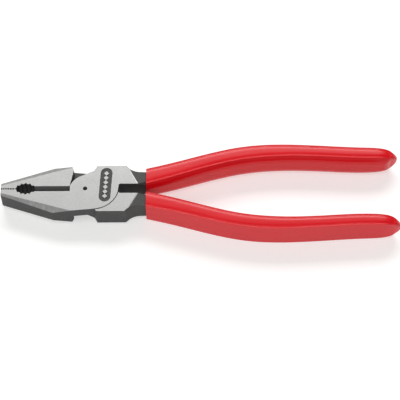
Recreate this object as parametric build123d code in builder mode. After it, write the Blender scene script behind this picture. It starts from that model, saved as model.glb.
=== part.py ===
"""Combination pliers with a riveted lap joint and dipped handles, closed and lying flat.

Everything is drawn from the pivot: X runs towards the handles, Z is the pivot's axis, and z = 0 is
the plane where the two lap plates slide. Both levers are the same forging: the rear one is the
front one turned over about X. Millimetres.
"""
from build123d import *
from math import atan2, cos, degrees, radians, sin, sqrt, tan
import os

os.makedirs("parts", exist_ok=True)

# Overall sizes
overall_length = 180.0
jaw_reach = 38.1            # pivot to jaw tip
head_thickness = 10.9       # over the two ground faces
head_half_width = 11.65     # pivot line to the outer edge of a block
grip_thickness = 14.2       # over the belts of a dipped handle

# Jaws
tip_half_width = 3.05
knee_x = -14.4              # where a jaw's side turns parallel to the tool
knee_y = 11.55
heel_corner = (-6.2, 11.35)
heel_top = (-5.35, 9.5)
jaw_gap = 0.10              # between the closed jaws
facet_tip_y = 2.15          # ground face's edge at the tip
facet_angle = 36.0          # the milled facet below the ground face
facet_width = 6.0           # of the cut that makes it
facet_back_shift = 0.5      # the facet on the lap side comes this much nearer to the jaw line

# Gripping and cutting edges
tooth_pitch = 0.79
tooth_count = 8
tooth_depth = 0.42
tooth_space_width = 0.50
pipe_grip_x = -26.9
pipe_grip_half_length = 4.7
pipe_grip_depth = 2.5
pipe_notch_count = 5
pipe_notch_depth = 0.6
pipe_notch_angle = 19.2     # from one notch to the next, about the grip's centre
bevel_half_width = 1.33     # cutter groove at the ground face
cutter_land = 0.30          # height of the cutting edge's land, half of it

# Lap joint
cheek_x = -6.9              # plate's edge, at the end of the cutter
heel_clearance = 0.15       # plate's edge to the other lever's jaw
cheek_middle = (-5.0, 4.42)
cheek_top = (-2.4, 6.24)
shoulder_foot = (3.9, 9.2)
block_left_x = 5.25
block_right_x = 18.45
seam_centre = (3.65, 1.03)
seam_radius = 11.4
seam_gap = 0.40             # plate's edge to the other lever's block
seam_end_x = 4.5
seam_start_y = -1.8
lap_clearance = 0.10        # between the two plates' sliding faces

# Neck between block and grip
slot_half_width = 2.40
slot_corner_radius = 0.8
neck_half_spread = 8.6      # pivot line to the neck's outer side
shoulder_slope = 46.0
shoulder_radius = 8.0
relief_foot_x = 23.5        # where the forged neck leaves the ground face, at the slot
relief_angle = 5.5
relief_width = 16.0         # of the cut that makes it
neck_edge_radius = 0.5
neck_slot_bevel = 1.2       # on the neck's slot edge, where the grip starts

# Rivet
rivet_radius = 4.6
rivet_head_radius = 5.6
rivet_head_depth = 1.0
rivet_clearance = 0.03      # radial, in the lever that turns
dimple_radius = 1.0
dimple_tip_radius = 0.2
dimple_depth = 1.3

# Recessed panel on the plate
panel_centre = (9.2, 1.9)
panel_width = 5.3
panel_length = 17.4
panel_tilt = -3.0
panel_depth = 0.3
panel_diamond_radius = 1.15
panel_diamond_pitch = 2.35
panel_diamond_count = 6

# Handles: outer and inner edge of the dipped grip
coat = 1.1                  # thickness of the dipped plastic
grip_start_x = 27.5
grip_outer_start_y = 9.65
grip_outer_bend = (76.65, 22.6)
grip_outer_tail = (127.0, 19.55)
grip_inner_start_y = 1.25
grip_inner_bend = (77.35, 15.5)
grip_inner_tail = (127.0, 13.45)
bend_radius = 112.0
tail_radius = 60.0
tail_slope = 0.05
grip_end_radius = 2.6       # in plan
grip_start_thickness = 12.4
grip_full_x = 54.0          # from here the grip is full thickness
grip_taper_x = 110.0        # and from here it thins towards the end
grip_end_thickness = 12.2
grip_side_radius = 5.4      # end rounding seen from the side
grip_palm_radius = 1.3      # long edges on the palm side
grip_finger_radius = 2.5    # and on the finger side
drip_length = 2.4           # the point that the dip leaves
drip_radius = 2.3
drip_root = 1.2             # how far the drip's foot reaches into the grip
drip_tip_radius = 0.3
tang_start_x = 28.0
tang_end_x = 133.5
lead_in = 8.0               # the handle is first drawn this much too long at the neck

# Worked out from the sizes above
half = head_thickness / 2
pivot = (jaw_reach - overall_length / 2, 0, grip_thickness / 2)
tip_x = -jaw_reach
grip_tip_x = overall_length - jaw_reach
grip_end_x = grip_tip_x - drip_length
past = 2.0                  # how far a cut runs past what it cuts
near = 0.2                  # two heights this near count as the same

# The heel's edge, from the jaw's heel to the end of the cutter
heel_foot = (cheek_x - heel_clearance, -bevel_half_width)
heel_slope = (heel_foot[0] - heel_top[0]) / (heel_foot[1] + heel_top[1])


def seam_point_x(y):
    """X of the plate's round edge at height y, right of its centre."""
    return seam_centre[0] + sqrt(seam_radius ** 2 - (y - seam_centre[1]) ** 2)


def seam_point_y(x):
    """Y of the plate's round edge below its centre."""
    return seam_centre[1] - sqrt(seam_radius ** 2 - (x - seam_centre[0]) ** 2)


shoulder_run = (head_half_width - neck_half_spread) / tan(radians(shoulder_slope))
neck_corner = (block_right_x + shoulder_run, neck_half_spread)
neck_end_x = grip_start_x + past
seam_angle = degrees(atan2(seam_start_y - seam_centre[1], seam_point_x(seam_start_y) - seam_centre[0]))
seam_end_angle = degrees(atan2(seam_point_y(seam_end_x) - seam_centre[1], seam_end_x - seam_centre[0]))
slot_corner = (seam_point_x(0) + seam_gap / 2, slot_half_width)

# Plan of the forged head: lower jaw, plate, upper block and neck in one outline
with BuildSketch() as head_plan:
    with BuildLine():
        Polyline(
            (cheek_x, bevel_half_width),
            (cheek_x, -jaw_gap / 2),
            (tip_x, -jaw_gap / 2),
            (tip_x, -tip_half_width),
            (knee_x, -knee_y),
            (heel_corner[0], -heel_corner[1]),
            (seam_end_x, seam_point_y(seam_end_x)),
        )
        CenterArc(seam_centre, seam_radius, seam_end_angle, seam_angle - seam_end_angle)
        FilletPolyline(
            (seam_point_x(seam_start_y), seam_start_y),
            slot_corner,
            (neck_end_x, slot_half_width),
            radius=slot_corner_radius,
        )
        Line((neck_end_x, slot_half_width), (neck_end_x, neck_half_spread))
        FilletPolyline(
            (neck_end_x, neck_half_spread),
            neck_corner,
            (block_right_x, head_half_width),
            radius=shoulder_radius,
        )
        Polyline(
            (block_right_x, head_half_width),
            (block_left_x, head_half_width),
            shoulder_foot,
            cheek_top,
        )
        ThreePointArc(cheek_top, cheek_middle, (cheek_x, bevel_half_width))
    make_face()

# Room for the other lever's plate, cut from below up to the sliding face
pocket_radius = seam_radius + seam_gap
with BuildPart() as lap_pocket:
    with BuildSketch(Plane.XY.offset(-half - past)):
        with Locations((seam_centre[0], -seam_centre[1])):
            Circle(pocket_radius)
            Rectangle(
                2 * pocket_radius,
                3 * pocket_radius,
                align=(Align.MAX, Align.CENTER),
                mode=Mode.SUBTRACT,
            )
        with BuildLine():
            Polyline(
                (heel_corner[0] - past, -heel_corner[1] - past),
                (heel_corner[0], -heel_corner[1]),
                (heel_top[0], -heel_top[1]),
                heel_foot,
                (heel_foot[0] + heel_slope * pocket_radius, heel_foot[1] + pocket_radius),
                (seam_centre[0], -seam_centre[1] + pocket_radius),
                (seam_centre[0], -heel_corner[1] - past),
                close=True,
            )
        make_face()
    extrude(amount=half + past + lap_clearance / 2)

# Milled facet along the jaw's side, below both ground faces
facet_run = (heel_corner[0] - tip_x, heel_corner[1] - facet_tip_y)
facet_turn = atan2(facet_run[1], facet_run[0])
facet_line = Plane(
    origin=(tip_x, -facet_tip_y, half),
    x_dir=(-sin(facet_turn), -cos(facet_turn), 0),
    z_dir=(-cos(facet_turn), sin(facet_turn), 0),
)
with BuildPart() as jaw_facets:
    with BuildSketch(facet_line):
        with BuildLine():
            Polyline(
                (0, 0),
                (facet_width, -facet_width * tan(radians(facet_angle))),
                (facet_width, past),
                (0, past),
                close=True,
            )
        make_face()
    extrude(amount=-sqrt(facet_run[0] ** 2 + facet_run[1] ** 2) - past)
    extrude(jaw_facets.faces().sort_by(Axis.X)[0], amount=past)
    with Locations((0, facet_back_shift, 0)):
        add(jaw_facets.part.mirror(Plane.XY))

# Bevels that leave the cutting edge at mid-thickness, on both faces
with BuildPart() as cutter_bevels:
    with BuildSketch(Plane.YZ.offset(pipe_grip_x)):
        with BuildLine():
            Polyline(
                (-bevel_half_width, half),
                (-jaw_gap / 2, cutter_land / 2),
                (past, cutter_land / 2),
                (past, half + past),
                (-bevel_half_width, half + past),
                close=True,
            )
        make_face()
    extrude(amount=cheek_x - pipe_grip_x)
    mirror(about=Plane.XY)

# The forged neck falls away from both ground faces along a slanted line
relief_run = (relief_foot_x - block_right_x, head_half_width - slot_half_width)
relief_turn = atan2(relief_run[0], relief_run[1])
relief_line = Plane(
    origin=(relief_foot_x, slot_half_width, half),
    x_dir=(cos(relief_turn), sin(relief_turn), 0),
    z_dir=(sin(relief_turn), -cos(relief_turn), 0),
)
relief_fall = tan(radians(relief_angle))
bevel_run = grip_start_x - relief_foot_x
down_wall = Vector(bevel_run, 0, -neck_slot_bevel - relief_fall * cos(relief_turn) * bevel_run)
down_neck = Vector(
    bevel_run,
    neck_slot_bevel,
    -relief_fall * (cos(relief_turn) * bevel_run + sin(relief_turn) * neck_slot_bevel),
)
slot_bevel_plane = Plane(origin=relief_line.origin, x_dir=down_wall, z_dir=down_wall.cross(down_neck))
slot_bevel_reach = bevel_run + 2 * past
with BuildPart() as neck_relief:
    with BuildSketch(relief_line):
        with BuildLine():
            Polyline(
                (0, 0),
                (relief_width, -relief_width * relief_fall),
                (relief_width, past),
                (0, past),
                close=True,
            )
        make_face()
    extrude(amount=head_half_width * 2, both=True)
    with Locations(slot_bevel_plane):
        Box(
            slot_bevel_reach,
            3 * neck_slot_bevel,
            3 * neck_slot_bevel,
            align=(Align.MIN, Align.CENTER, Align.MIN),
        )
    mirror(about=Plane.XY)

def runs_along(edge):
    """True for an edge that follows the tool's length more than it crosses it."""
    return abs((edge % 0.5).X) > 0.5


# Plan and side view of a dipped handle, drawn a little long at the neck and cut to length later


def handle_route(start_y, bend, tail):
    """Corners of one edge of the grip in plan, from inside the neck to the rounded end."""
    slope = (bend[1] - start_y) / (bend[0] - grip_start_x)
    end_y = tail[1] + tail_slope * (grip_end_x - tail[0])
    return [(grip_start_x - lead_in, start_y - lead_in * slope), bend, tail, (grip_end_x, end_y)]


outer_route = handle_route(grip_outer_start_y, grip_outer_bend, grip_outer_tail)
inner_route = handle_route(grip_inner_start_y, grip_inner_bend, grip_inner_tail)
middle_route = [((a[0] + b[0]) / 2, (a[1] + b[1]) / 2) for a, b in zip(outer_route, inner_route)]


def outside_middle(edge):
    """How far an edge's centre lies outside the handle's middle line, in plan."""
    x, y = edge.center().X, edge.center().Y
    for (x0, y0), (x1, y1) in zip(middle_route, middle_route[1:]):
        if x <= x1:
            return y - y0 - (y1 - y0) * (x - x0) / (x1 - x0)
    return y - middle_route[-1][1]


with BuildSketch() as handle_plan:
    with BuildLine():
        outer = FilletPolyline(*outer_route, radius=[bend_radius, tail_radius])
        inner = FilletPolyline(*inner_route, radius=[bend_radius, tail_radius])
        Line(outer @ 0, inner @ 0)
        Line(outer @ 1, inner @ 1)
    make_face()
    fillet(handle_plan.vertices().group_by(Axis.X)[-1], radius=grip_end_radius)

side_edge = [
    (grip_start_x - lead_in, grip_start_thickness / 2),
    (grip_start_x, grip_start_thickness / 2),
    (grip_full_x, grip_thickness / 2),
    (grip_taper_x, grip_thickness / 2),
    (grip_end_x, grip_end_thickness / 2),
]
with BuildSketch() as handle_side:
    with BuildLine():
        Polyline(*side_edge, *[(x, -z) for x, z in reversed(side_edge)], close=True)
    make_face()
    fillet(handle_side.vertices().group_by(Axis.X)[-1], radius=grip_side_radius)

# Steel tang inside the grip: the handle's shape less the coat
with BuildPart() as tang:
    with BuildSketch():
        add(handle_plan.sketch)
        offset(amount=-coat)
        with Locations((tang_start_x, 0)):
            tang_length = tang_end_x - tang_start_x
            Rectangle(tang_length, overall_length, align=(Align.MIN, Align.CENTER), mode=Mode.INTERSECT)
    extrude(amount=grip_thickness, both=True)
    with BuildSketch(Plane.XZ):
        add(handle_side.sketch)
        offset(amount=-coat)
    extrude(amount=overall_length, both=True, mode=Mode.INTERSECT)

# One dipped grip, still solid, with the point of the last drip at its end
tail_turn = atan2(tail_slope, 1)
with BuildPart() as grip_blank:
    with BuildSketch():
        add(handle_plan.sketch)
        with Locations((grip_start_x, 0)):
            Rectangle(overall_length, overall_length, align=(Align.MIN, Align.CENTER), mode=Mode.INTERSECT)
    extrude(amount=grip_thickness, both=True)
    with BuildSketch(Plane.XZ):
        add(handle_side.sketch)
    extrude(amount=overall_length, both=True, mode=Mode.INTERSECT)
    for radius, side in ((grip_palm_radius, 1), (grip_finger_radius, -1)):
        belt_edges = grip_blank.edges().filter_by(runs_along)
        belt_edges = belt_edges.filter_by(lambda e: abs(e.center().Z) > grip_start_thickness / 2 - near)
        fillet(belt_edges.filter_by(lambda e: side * outside_middle(e) > coat), radius=radius)
    drip_foot = (grip_end_x - drip_root, middle_route[-1][1], 0)
    with Locations(Plane(origin=drip_foot, z_dir=(cos(tail_turn), sin(tail_turn), 0))):
        Cone(
            drip_radius,
            drip_tip_radius,
            drip_length + drip_root,
            align=(Align.CENTER, Align.CENTER, Align.MIN),
        )

# The forging both levers are made from, before the rivet hole
with BuildPart() as lever_blank:
    add(head_plan.sketch)
    extrude(amount=half, both=True)
    add(lap_pocket.part, mode=Mode.SUBTRACT)
    add(jaw_facets.part, mode=Mode.SUBTRACT)
    add(cutter_bevels.part, mode=Mode.SUBTRACT)
    neck_edges = lever_blank.edges().filter_by(runs_along).filter_by(lambda e: e.center().X > block_right_x)
    neck_edges = neck_edges.filter_by(lambda e: e.center().Y > slot_half_width + near)
    fillet(neck_edges.filter_by(lambda e: abs(e.center().Z) > half - near), radius=neck_edge_radius)
    add(neck_relief.part, mode=Mode.SUBTRACT)
    add(tang.part)
    with BuildSketch(Plane.XY.offset(-half)):
        with Locations(*[(tip_x + tooth_pitch * (n + 0.5), -jaw_gap / 2) for n in range(tooth_count)]):
            Ellipse(x_radius=tooth_space_width / 2, y_radius=tooth_depth)
        grip_arc_radius = (pipe_grip_half_length ** 2 + pipe_grip_depth ** 2) / (2 * pipe_grip_depth)
        with Locations((pipe_grip_x, grip_arc_radius - pipe_grip_depth)):
            Circle(grip_arc_radius)
            notch_span = pipe_notch_angle * (pipe_notch_count - 1)
            notch_start = -90 - notch_span / 2
            with PolarLocations(grip_arc_radius, pipe_notch_count, notch_start, notch_span, endpoint=True):
                RegularPolygon(radius=pipe_notch_depth, side_count=4)
    extrude(amount=head_thickness, mode=Mode.SUBTRACT)
    # recessed panel with a row of plain diamonds left level with the plate
    with BuildSketch(Plane.XY.offset(half)):
        with Locations(Location((*panel_centre, 0), (0, 0, panel_tilt))):
            SlotOverall(panel_length, panel_width, rotation=90)
            with GridLocations(0, panel_diamond_pitch, 1, panel_diamond_count):
                RegularPolygon(radius=panel_diamond_radius, side_count=4, mode=Mode.SUBTRACT)
    extrude(amount=-panel_depth, mode=Mode.SUBTRACT)


def rivet_body(clearance):
    """The rivet about the pivot, grown by a radial clearance: a shank that opens to a cone at each head."""
    shank_radius = rivet_radius + clearance
    head_radius = rivet_head_radius + clearance
    with BuildPart() as body:
        with BuildSketch(Plane.XZ):
            with BuildLine():
                Polyline(
                    (0, -half),
                    (head_radius, -half),
                    (shank_radius, rivet_head_depth - half),
                    (shank_radius, half - rivet_head_depth),
                    (head_radius, half),
                    (0, half),
                    close=True,
                )
            make_face()
        revolve(axis=Axis.Z)
    return body.part


# Front lever: turns on the rivet, so its hole has the running clearance
with BuildPart() as front_lever:
    with Locations(pivot):
        add(lever_blank.part)
        add(rivet_body(rivet_clearance), mode=Mode.SUBTRACT)
front_lever.part.label = "front_lever"

# Rear lever: the same forging turned over, and the rivet is tight in it
with BuildPart() as rear_lever:
    with Locations(pivot):
        add(lever_blank.part, rotation=(180, 0, 0))
        add(rivet_body(0), mode=Mode.SUBTRACT)
rear_lever.part.label = "rear_lever"

# Rivet: both heads are ground flush with the plates and carry the centre dimple
with BuildPart() as pivot_rivet:
    with Locations(pivot):
        add(rivet_body(0))
    for side in (1, -1):
        with Locations(Plane(origin=(pivot[0], pivot[1], pivot[2] + side * half), z_dir=(0, 0, -side))):
            Cone(
                dimple_radius,
                dimple_tip_radius,
                dimple_depth,
                align=(Align.CENTER, Align.CENTER, Align.MIN),
                mode=Mode.SUBTRACT,
            )
pivot_rivet.part.label = "pivot_rivet"

# Grips: each blank less the steel inside it
with BuildPart() as upper_grip:
    with Locations(pivot):
        add(grip_blank.part)
    add(front_lever.part, mode=Mode.SUBTRACT)
upper_grip.part.label = "upper_grip"

with BuildPart() as lower_grip:
    with Locations(pivot):
        add(grip_blank.part, rotation=(180, 0, 0))
    add(rear_lever.part, mode=Mode.SUBTRACT)
lower_grip.part.label = "lower_grip"

for piece in (front_lever, rear_lever, pivot_rivet, upper_grip, lower_grip):
    export_step(piece.part, f"parts/{piece.part.label}.step")
    print(piece.part.label, len(piece.part.solids()), round(piece.part.volume, 1), piece.part.bounding_box())
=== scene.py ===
"""Combination pliers, closed and lying flat on a pale floor.

Two drop-forged steel levers turn on one flush rivet, and each handle has a dipped red plastic grip.
Lengths are in metres. X runs from the jaw tips to the grip ends and Z is up.
"""

from math import radians

import bpy
from mathutils import Matrix, Vector


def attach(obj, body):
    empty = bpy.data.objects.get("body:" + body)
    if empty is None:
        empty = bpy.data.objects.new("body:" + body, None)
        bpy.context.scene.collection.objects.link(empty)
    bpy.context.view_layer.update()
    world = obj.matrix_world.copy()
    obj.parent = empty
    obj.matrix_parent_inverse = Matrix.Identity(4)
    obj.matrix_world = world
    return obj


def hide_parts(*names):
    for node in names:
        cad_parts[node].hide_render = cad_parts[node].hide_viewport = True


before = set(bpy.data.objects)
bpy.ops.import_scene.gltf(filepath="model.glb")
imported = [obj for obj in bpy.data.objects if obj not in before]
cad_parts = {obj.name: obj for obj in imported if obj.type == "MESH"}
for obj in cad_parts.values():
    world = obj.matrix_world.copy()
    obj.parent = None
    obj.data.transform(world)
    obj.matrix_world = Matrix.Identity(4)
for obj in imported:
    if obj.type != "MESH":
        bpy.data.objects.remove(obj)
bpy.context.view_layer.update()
bpy.ops.object.select_all(action="DESELECT")
mm = 0.001

# ---------------------------------------------------------------- camera and view
# The tool is seen from the side of the lower handle, well above it, through a long lens.
# The camera also leans by a small angle about the rivet, as if the handles stood higher than the head.
joint_x = -51.9 * mm
pivot = Vector((joint_x, 0, 7.1 * mm))
camera_distance = 0.760
camera_elevation = radians(61)
camera_aim = Vector((-0.12 * mm, -2.96 * mm, pivot.z))
handle_lift = radians(0.6)

bpy.ops.object.camera_add()
camera = bpy.context.object
camera.name = "view_camera"
camera.data.lens = 151.0
camera.data.clip_start = 0.05
level_view = Matrix.Translation(camera_aim) @ Matrix.Rotation(radians(90) - camera_elevation, 4, "X")
level_view = level_view @ Matrix.Translation((0, 0, camera_distance))
lean = Matrix.Translation(pivot) @ Matrix.Rotation(handle_lift, 4, "Y") @ Matrix.Translation(-pivot)
camera.matrix_world = lean @ level_view
bpy.context.scene.camera = camera
bpy.context.scene.view_settings.view_transform = "Standard"

# ---------------------------------------------------------------- floor and studio light
# A matt white board under the tool, lit by one strong wide soft box above and behind it.
# Three weaker ones, above, by the head and in front, keep the near sides from going black.
bpy.ops.mesh.primitive_plane_add(size=6)
floor = bpy.context.object
floor.name = "studio_floor"
board = bpy.data.materials.new("matt_white_board")
board.use_nodes = True
board_shader = board.node_tree.nodes["Principled BSDF"]
board_shader.inputs["Base Color"].default_value = (0.62, 0.62, 0.61, 1)
board_shader.inputs["Roughness"].default_value = 0.9
board_shader.inputs["Specular IOR Level"].default_value = 0.2
board_shader.inputs["Emission Color"].default_value = (1, 1, 1, 1)
board_shader.inputs["Emission Strength"].default_value = 0.50
floor.data.materials.append(board)

world = bpy.data.worlds.new("studio_room")
bpy.context.scene.world = world
world.use_nodes = True
world.node_tree.nodes["Background"].inputs["Color"].default_value = (1.0, 0.99, 0.97, 1)
world.node_tree.nodes["Background"].inputs["Strength"].default_value = 0.2


def soft_box(name, place, width, depth, power):
    """A rectangular area light at place, facing the tool."""
    bpy.ops.object.light_add(type="AREA", location=place)
    light = bpy.context.object
    light.name = name
    light.data.shape = "RECTANGLE"
    light.data.size = width
    light.data.size_y = depth
    light.data.energy = power
    light.rotation_euler = (-Vector(place)).to_track_quat("-Z", "Y").to_euler()
    return light


soft_box("back_soft_box", (0.02, 0.88, 0.92), 1.1, 0.45, 13.7)
soft_box("top_soft_box", (-0.05, -0.25, 1.25), 1.0, 0.5, 3.5)
soft_box("head_soft_box", (-0.35, -0.75, 0.95), 0.5, 0.4, 1.5)
soft_box("front_soft_box", (-0.1, -1.2, 0.25), 1.4, 0.3, 2.5)

# ---------------------------------------------------------------- forged levers
# Each lever is one drop forging in tool steel: jaw, cutter, lap at the joint and a tang inside the grip.
# The flat faces are ground bright, the jaw facets are milled, and all other skin keeps the dark forged scale.
half_head = 5.45 * mm
joint_front = joint_x - 4 * mm


def add_node(tree, kind, x, y, **settings):
    """A node at a place in the tree, with its settings and unlinked inputs set by name."""
    node = tree.nodes.new(kind)
    node.location = (x, y)
    inputs = settings.pop("inputs", {})
    for name, value in settings.items():
        setattr(node, name, value)
    for name, value in inputs.items():
        node.inputs[name].default_value = value
    return node


def add_maths(tree, operation, x, y, first, second=None):
    """The result of a maths node on a socket and, where it takes one, a second socket or a plain number."""
    node = add_node(tree, "ShaderNodeMath", x, y, operation=operation)
    tree.links.new(first, node.inputs[0])
    if isinstance(second, float):
        node.inputs[1].default_value = second
    elif second is not None:
        tree.links.new(second, node.inputs[1])
    return node.outputs[0]


def add_mix(tree, x, y, factor, first, second, data_type="RGBA"):
    """The result of a mix by a factor socket, between two values that are each a socket or plain."""
    node = add_node(tree, "ShaderNodeMix", x, y, data_type=data_type)
    tree.links.new(factor, node.inputs["Factor"])
    for name, value in (("A", first), ("B", second)):
        if isinstance(value, (float, tuple)):
            node.inputs[name].default_value = value
        else:
            tree.links.new(value, node.inputs[name])
    return node.outputs["Result"]


def add_noise(tree, x, y, place, scale, detail, roughness):
    """The value of a noise texture over a place socket."""
    inputs = {"Scale": scale, "Detail": detail, "Roughness": roughness}
    node = add_node(tree, "ShaderNodeTexNoise", x, y, inputs=inputs)
    tree.links.new(place, node.inputs["Vector"])
    return node.outputs["Fac"]


def stretched(tree, x, y, place, scale):
    """A place socket scaled differently along each axis, which draws a noise out into streaks."""
    node = add_node(tree, "ShaderNodeMapping", x, y, inputs={"Scale": scale})
    tree.links.new(place, node.inputs["Vector"])
    return node.outputs[0]


def levers_steel():
    """Steel that is ground on the flat faces, milled on the jaw facets and forged dark elsewhere."""
    steel = bpy.data.materials.new("forged_and_ground_steel")
    steel.use_nodes = True
    tree = steel.node_tree
    link = tree.links.new
    shader = tree.nodes["Principled BSDF"]
    coordinates = add_node(tree, "ShaderNodeTexCoord", -1800, 0)
    place = coordinates.outputs["Object"]
    split = add_node(tree, "ShaderNodeSeparateXYZ", -1600, 200)
    link(place, split.inputs[0])
    facing = add_node(tree, "ShaderNodeSeparateXYZ", -1600, -200)
    link(coordinates.outputs["Normal"], facing.inputs[0])

    # ground faces: level skin at the full height of the head, above or below the middle plane
    height = add_maths(tree, "SUBTRACT", -1400, 300, split.outputs["Z"], pivot.z)
    height_size = add_maths(tree, "ABSOLUTE", -1200, 300, height)
    on_plate = add_maths(tree, "GREATER_THAN", -1000, 300, height_size, half_head - 0.04 * mm)
    level = add_maths(tree, "ABSOLUTE", -1400, -300, facing.outputs["Z"])
    is_level = add_maths(tree, "GREATER_THAN", -1200, -300, level, 0.97)
    ground = add_maths(tree, "MULTIPLY", -800, 300, on_plate, is_level)

    # milled facets: gently sloping skin on the jaw side of the joint
    not_level = add_maths(tree, "LESS_THAN", -1200, -450, level, 0.90)
    not_steep = add_maths(tree, "GREATER_THAN", -1200, -600, level, 0.70)
    on_jaw = add_maths(tree, "LESS_THAN", -1200, -750, split.outputs["X"], joint_front)
    gentle = add_maths(tree, "MULTIPLY", -1000, -500, not_level, not_steep)
    milled = add_maths(tree, "MULTIPLY", -800, -500, gentle, on_jaw)

    # bevels of the cutter: steep skin on the jaw side of the joint that isn't quite upright
    steep = add_maths(tree, "LESS_THAN", -1200, -1100, level, 0.35)
    not_upright = add_maths(tree, "GREATER_THAN", -1200, -1250, level, 0.15)
    leaning = add_maths(tree, "MULTIPLY", -1000, -1150, steep, not_upright)
    bevelled = add_maths(tree, "MULTIPLY", -800, -1150, leaning, on_jaw)

    # grinding grain: fine scratches along the tool
    grain_place = stretched(tree, -1400, 900, place, (900, 3600, 3600))
    grain = add_noise(tree, -1200, 900, grain_place, 1.0, 3.0, 0.6)
    cloud = add_noise(tree, -1200, 650, place, 160.0, 4.0, 0.6)
    ground_tone = add_mix(tree, -800, 800, grain, (0.205, 0.205, 0.203, 1), (0.305, 0.305, 0.302, 1))

    # milled hatch: close straight cuts across the facet
    hatch_place = stretched(tree, -1400, -950, place, (2600, 500, 500))
    hatch = add_noise(tree, -1200, -950, hatch_place, 1.0, 2.0, 0.5)
    milled_tone = add_mix(tree, -800, -900, hatch, (0.17, 0.17, 0.168, 1), (0.47, 0.47, 0.465, 1))

    # forged scale: mottled dark grey with a fine pitted skin
    pitting = add_noise(tree, -1200, 0, place, 900.0, 5.0, 0.7)
    forged_tone = add_mix(tree, -800, 0, pitting, (0.033, 0.033, 0.0325, 1), (0.084, 0.084, 0.083, 1))

    with_bevel = add_mix(tree, -650, -50, bevelled, forged_tone, (0.20, 0.20, 0.198, 1))
    with_milled = add_mix(tree, -550, -200, milled, with_bevel, milled_tone)
    whole = add_mix(tree, -350, 200, ground, with_milled, ground_tone)
    link(whole, shader.inputs["Base Color"])

    # the scale is duller and rougher than the machined skin, and the cloud breaks up the shine of both
    machined = add_maths(tree, "MAXIMUM", -550, 500, ground, milled)
    metal = add_mix(tree, -350, 700, machined, 0.2, 1.0, data_type="FLOAT")
    link(metal, shader.inputs["Metallic"])
    roughness = add_mix(tree, -350, 500, machined, 0.62, 0.38, data_type="FLOAT")
    clouded = add_node(tree, "ShaderNodeMath", -150, 500, operation="MULTIPLY_ADD")
    clouded.inputs[1].default_value = 0.10
    link(cloud, clouded.inputs[0])
    link(roughness, clouded.inputs[2])
    link(clouded.outputs[0], shader.inputs["Roughness"])

    relief = add_mix(tree, -350, -500, machined, pitting, grain, data_type="FLOAT")
    bump = add_node(tree, "ShaderNodeBump", -150, -500, inputs={"Strength": 0.25, "Distance": 0.05 * mm})
    link(relief, bump.inputs["Height"])
    link(bump.outputs["Normal"], shader.inputs["Normal"])
    return steel


steel = levers_steel()
for lever_name in ("front_lever", "rear_lever"):
    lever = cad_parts[lever_name]
    for slot_number in range(len(lever.data.materials)):
        lever.material_slots[slot_number].material = steel

# ---------------------------------------------------------------- rivet
# A plain steel rivet, pressed tight in the rear lever and ground off flush with both plates.
# Each head keeps a small centre dimple from the press.
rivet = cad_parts["pivot_rivet"]
for slot_number in range(len(rivet.data.materials)):
    rivet.material_slots[slot_number].material = steel

# ---------------------------------------------------------------- dipped grips
# Each handle is dipped in hot red plastic, which sets as one seamless skin a little over a millimetre thick.
# The belt above and below is crowned between two thin lips, the finger side is full and the palm side flat.
# The last drip leaves a point at the end, and the skin is trimmed square at the neck.
grip_cut = 27.5 * mm
skin = 1.15 * mm
# in millimetres at each station: distance from the joint, outer lip, inner lip and half thickness
grip_stations = [
    (20.0, 8.0, 0.2, 6.2),
    (27.0, 9.6, 2.0, 6.25),
    (36.0, 11.6, 4.3, 6.6),
    (44.0, 13.7, 6.7, 6.9),
    (52.0, 16.0, 9.2, 7.05),
    (60.0, 18.2, 11.5, 7.1),
    (68.0, 20.05, 13.5, 7.1),
    (76.0, 21.2, 14.8, 7.1),
    (84.0, 21.65, 15.5, 7.1),
    (92.0, 21.65, 15.75, 7.1),
    (100.0, 21.3, 15.6, 7.1),
    (108.0, 20.85, 15.25, 7.1),
    (116.0, 20.3, 14.7, 7.1),
    (124.0, 19.9, 14.4, 7.05),
    (129.0, 19.85, 14.4, 6.95),
    (133.0, 19.75, 14.5, 6.7),
    (136.5, 19.5, 14.8, 6.1),
    (139.2, 19.0, 15.4, 4.9),
    (140.8, 18.5, 16.1, 3.3),
    (141.9, 17.9, 17.0, 1.4),
]
panel_end = joint_x + 138.5 * mm


def pick(mesh_object, kind, test):
    """Select only the vertices, edges or polygons that pass the test, and go on in edit mode."""
    bpy.ops.object.mode_set(mode="OBJECT")
    mesh = mesh_object.data
    for group in (mesh.vertices, mesh.edges, mesh.polygons):
        for element in group:
            element.select = False
    for element in getattr(mesh, kind):
        element.select = test(element)
    bpy.ops.object.mode_set(mode="EDIT")


def station_box(station, wall):
    """Middle, width and height of the handle's section at a station, less a wall all round."""
    x, outer, inner, half = station
    middle = Vector((joint_x + x * mm, (outer + inner) / 2 * mm, pivot.z))
    return middle, (outer - inner) * mm - 2 * wall, 2 * half * mm - 2 * wall


def extrude_along(sections):
    """Draw the selected section on through sections of (station, wall), resized to each."""
    for here, there in zip(sections, sections[1:]):
        old_middle, old_width, old_height = station_box(*here)
        new_middle, new_width, new_height = station_box(*there)
        bpy.ops.mesh.extrude_region_move(TRANSFORM_OT_translate={"value": new_middle - old_middle})
        size_change = (1, new_width / old_width, new_height / old_height)
        bpy.ops.transform.resize(value=size_change, center_override=new_middle)


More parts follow.
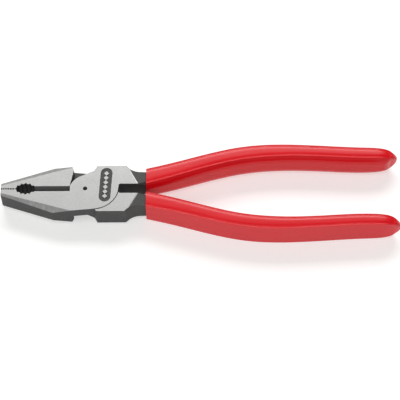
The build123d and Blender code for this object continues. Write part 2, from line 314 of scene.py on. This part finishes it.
# the first section is a small grid facing the jaws, two faces across the belt and four down the sides
first_middle, first_width, first_height = station_box(grip_stations[0], 0)
facing_jaws = (0, radians(90), 0)
bpy.ops.mesh.primitive_grid_add(
    x_subdivisions=4, y_subdivisions=2, size=1, location=first_middle, rotation=facing_jaws
)
grip = bpy.context.object
grip.name = "upper_grip_skin"
bpy.ops.object.mode_set(mode="EDIT")
bpy.context.tool_settings.mesh_select_mode = (False, False, True)
bpy.ops.mesh.select_all(action="SELECT")
bpy.ops.transform.resize(value=(1, first_width, first_height), center_override=first_middle)
extrude_along([(station, 0) for station in grip_stations])
bpy.ops.object.mode_set(mode="OBJECT")
bpy.ops.object.transform_apply(location=True, rotation=True, scale=True)
bpy.ops.object.mode_set(mode="EDIT")
bpy.ops.mesh.select_all(action="SELECT")
bpy.ops.mesh.normals_make_consistent(inside=False)


def on_palm(face):
    """Whether a face is on the side that the palm presses, short of the drawn point."""
    return face.normal.y > 0.7 and face.center.x < panel_end


def on_finger(face):
    """Whether a face is on the side that the fingers pull, short of the drawn point."""
    return face.normal.y < -0.7 and face.center.x < panel_end


def on_belt(face):
    """Whether a face is above or below, short of the drawn point."""
    return abs(face.normal.z) > 0.7 and face.center.x < panel_end


# the belt dips beside each lip and is crowned from lip to lip
pick(grip, "polygons", on_belt)
bpy.ops.mesh.inset(thickness=0.50 * mm, depth=-0.38 * mm, use_even_offset=False)
bpy.ops.mesh.inset(thickness=0.50 * mm, depth=0.16 * mm, use_even_offset=False)
bpy.ops.mesh.inset(thickness=0.50 * mm, depth=0.14 * mm, use_even_offset=False)
# the palm side is flat up to its lip
pick(grip, "polygons", on_palm)
bpy.ops.mesh.inset(thickness=0.55 * mm, depth=0)
# the finger side falls away from its lip and then fills out
pick(grip, "polygons", on_finger)
bpy.ops.mesh.inset(thickness=0.55 * mm, depth=0.16 * mm)
bpy.ops.mesh.inset(thickness=0.90 * mm, depth=0.62 * mm)
bpy.ops.mesh.inset(thickness=1.30 * mm, depth=0.48 * mm)
bpy.ops.mesh.inset(thickness=1.30 * mm, depth=0.16 * mm)
bpy.ops.object.mode_set(mode="OBJECT")

smooth = grip.modifiers.new("round_off", "SUBSURF")
smooth.levels = 2
smooth.render_levels = 2
bpy.ops.object.modifier_apply(modifier="round_off")

# the skin is trimmed square at the neck, its rim is eased, and the tang's socket runs nearly to the end
bpy.ops.object.mode_set(mode="EDIT")
bpy.ops.mesh.select_all(action="SELECT")
cut_x = joint_x + grip_cut
bpy.ops.mesh.bisect(plane_co=(cut_x, 0, 0), plane_no=(-1, 0, 0), use_fill=True, clear_outer=True)
pick(grip, "polygons", lambda face: face.normal.x < -0.99 and abs(face.center.x - cut_x) < 0.01 * mm)
cut_size = (9.72, 2.13, 6.28)  # outer lip, inner lip and half thickness at the cut
rim = [
    ((27.5, *cut_size), 0),
    ((27.42, *cut_size), 0.14 * mm),
    ((27.4, *cut_size), 0.4 * mm),
    ((27.4, *cut_size), skin),
]
extrude_along(rim + [(station, skin) for station in grip_stations[2:16]])
bpy.ops.mesh.select_all(action="SELECT")
bpy.ops.mesh.normals_make_consistent(inside=False)
bpy.ops.object.mode_set(mode="OBJECT")
bpy.ops.object.shade_smooth_by_angle(angle=radians(45))


def dipped_plastic():
    """Glossy red dip with a faint flow along the handle and a very fine uneven skin."""
    plastic = bpy.data.materials.new("dipped_red_plastic")
    plastic.use_nodes = True
    tree = plastic.node_tree
    link = tree.links.new
    shader = tree.nodes["Principled BSDF"]
    shader.inputs["Specular IOR Level"].default_value = 0.28
    place = add_node(tree, "ShaderNodeTexCoord", -1200, 0).outputs["Object"]
    flow_place = stretched(tree, -1000, 200, place, (18, 420, 420))
    flow = add_noise(tree, -800, 200, flow_place, 1.0, 3.0, 0.5)
    tone = add_mix(tree, -500, 200, flow, (0.62, 0.004, 0.010, 1), (0.74, 0.007, 0.014, 1))
    link(tone, shader.inputs["Base Color"])
    peel = add_noise(tree, -800, -200, place, 700.0, 3.0, 0.55)
    roughness = add_node(tree, "ShaderNodeMath", -500, -50, operation="MULTIPLY_ADD")
    roughness.inputs[1].default_value = 0.10
    roughness.inputs[2].default_value = 0.20
    link(flow, roughness.inputs[0])
    link(roughness.outputs[0], shader.inputs["Roughness"])
    bump = add_node(tree, "ShaderNodeBump", -300, -250, inputs={"Strength": 0.12, "Distance": 0.03 * mm})
    link(peel, bump.inputs["Height"])
    link(bump.outputs["Normal"], shader.inputs["Normal"])
    return plastic


grip.data.materials.append(dipped_plastic())
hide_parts("upper_grip")
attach(grip, "front")

# the other grip is the same dip on the same forging, turned over about the tool's middle line
lower_grip = grip.copy()
lower_grip.data = grip.data.copy()
lower_grip.name = "lower_grip_skin"
bpy.context.collection.objects.link(lower_grip)
bpy.ops.object.select_all(action="DESELECT")
lower_grip.select_set(True)
bpy.context.view_layer.objects.active = lower_grip
bpy.ops.object.mode_set(mode="EDIT")
bpy.ops.mesh.select_all(action="SELECT")
bpy.ops.transform.rotate(value=radians(180), orient_axis="X", center_override=(0, 0, pivot.z))
bpy.ops.object.mode_set(mode="OBJECT")
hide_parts("lower_grip")
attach(lower_grip, "rear")
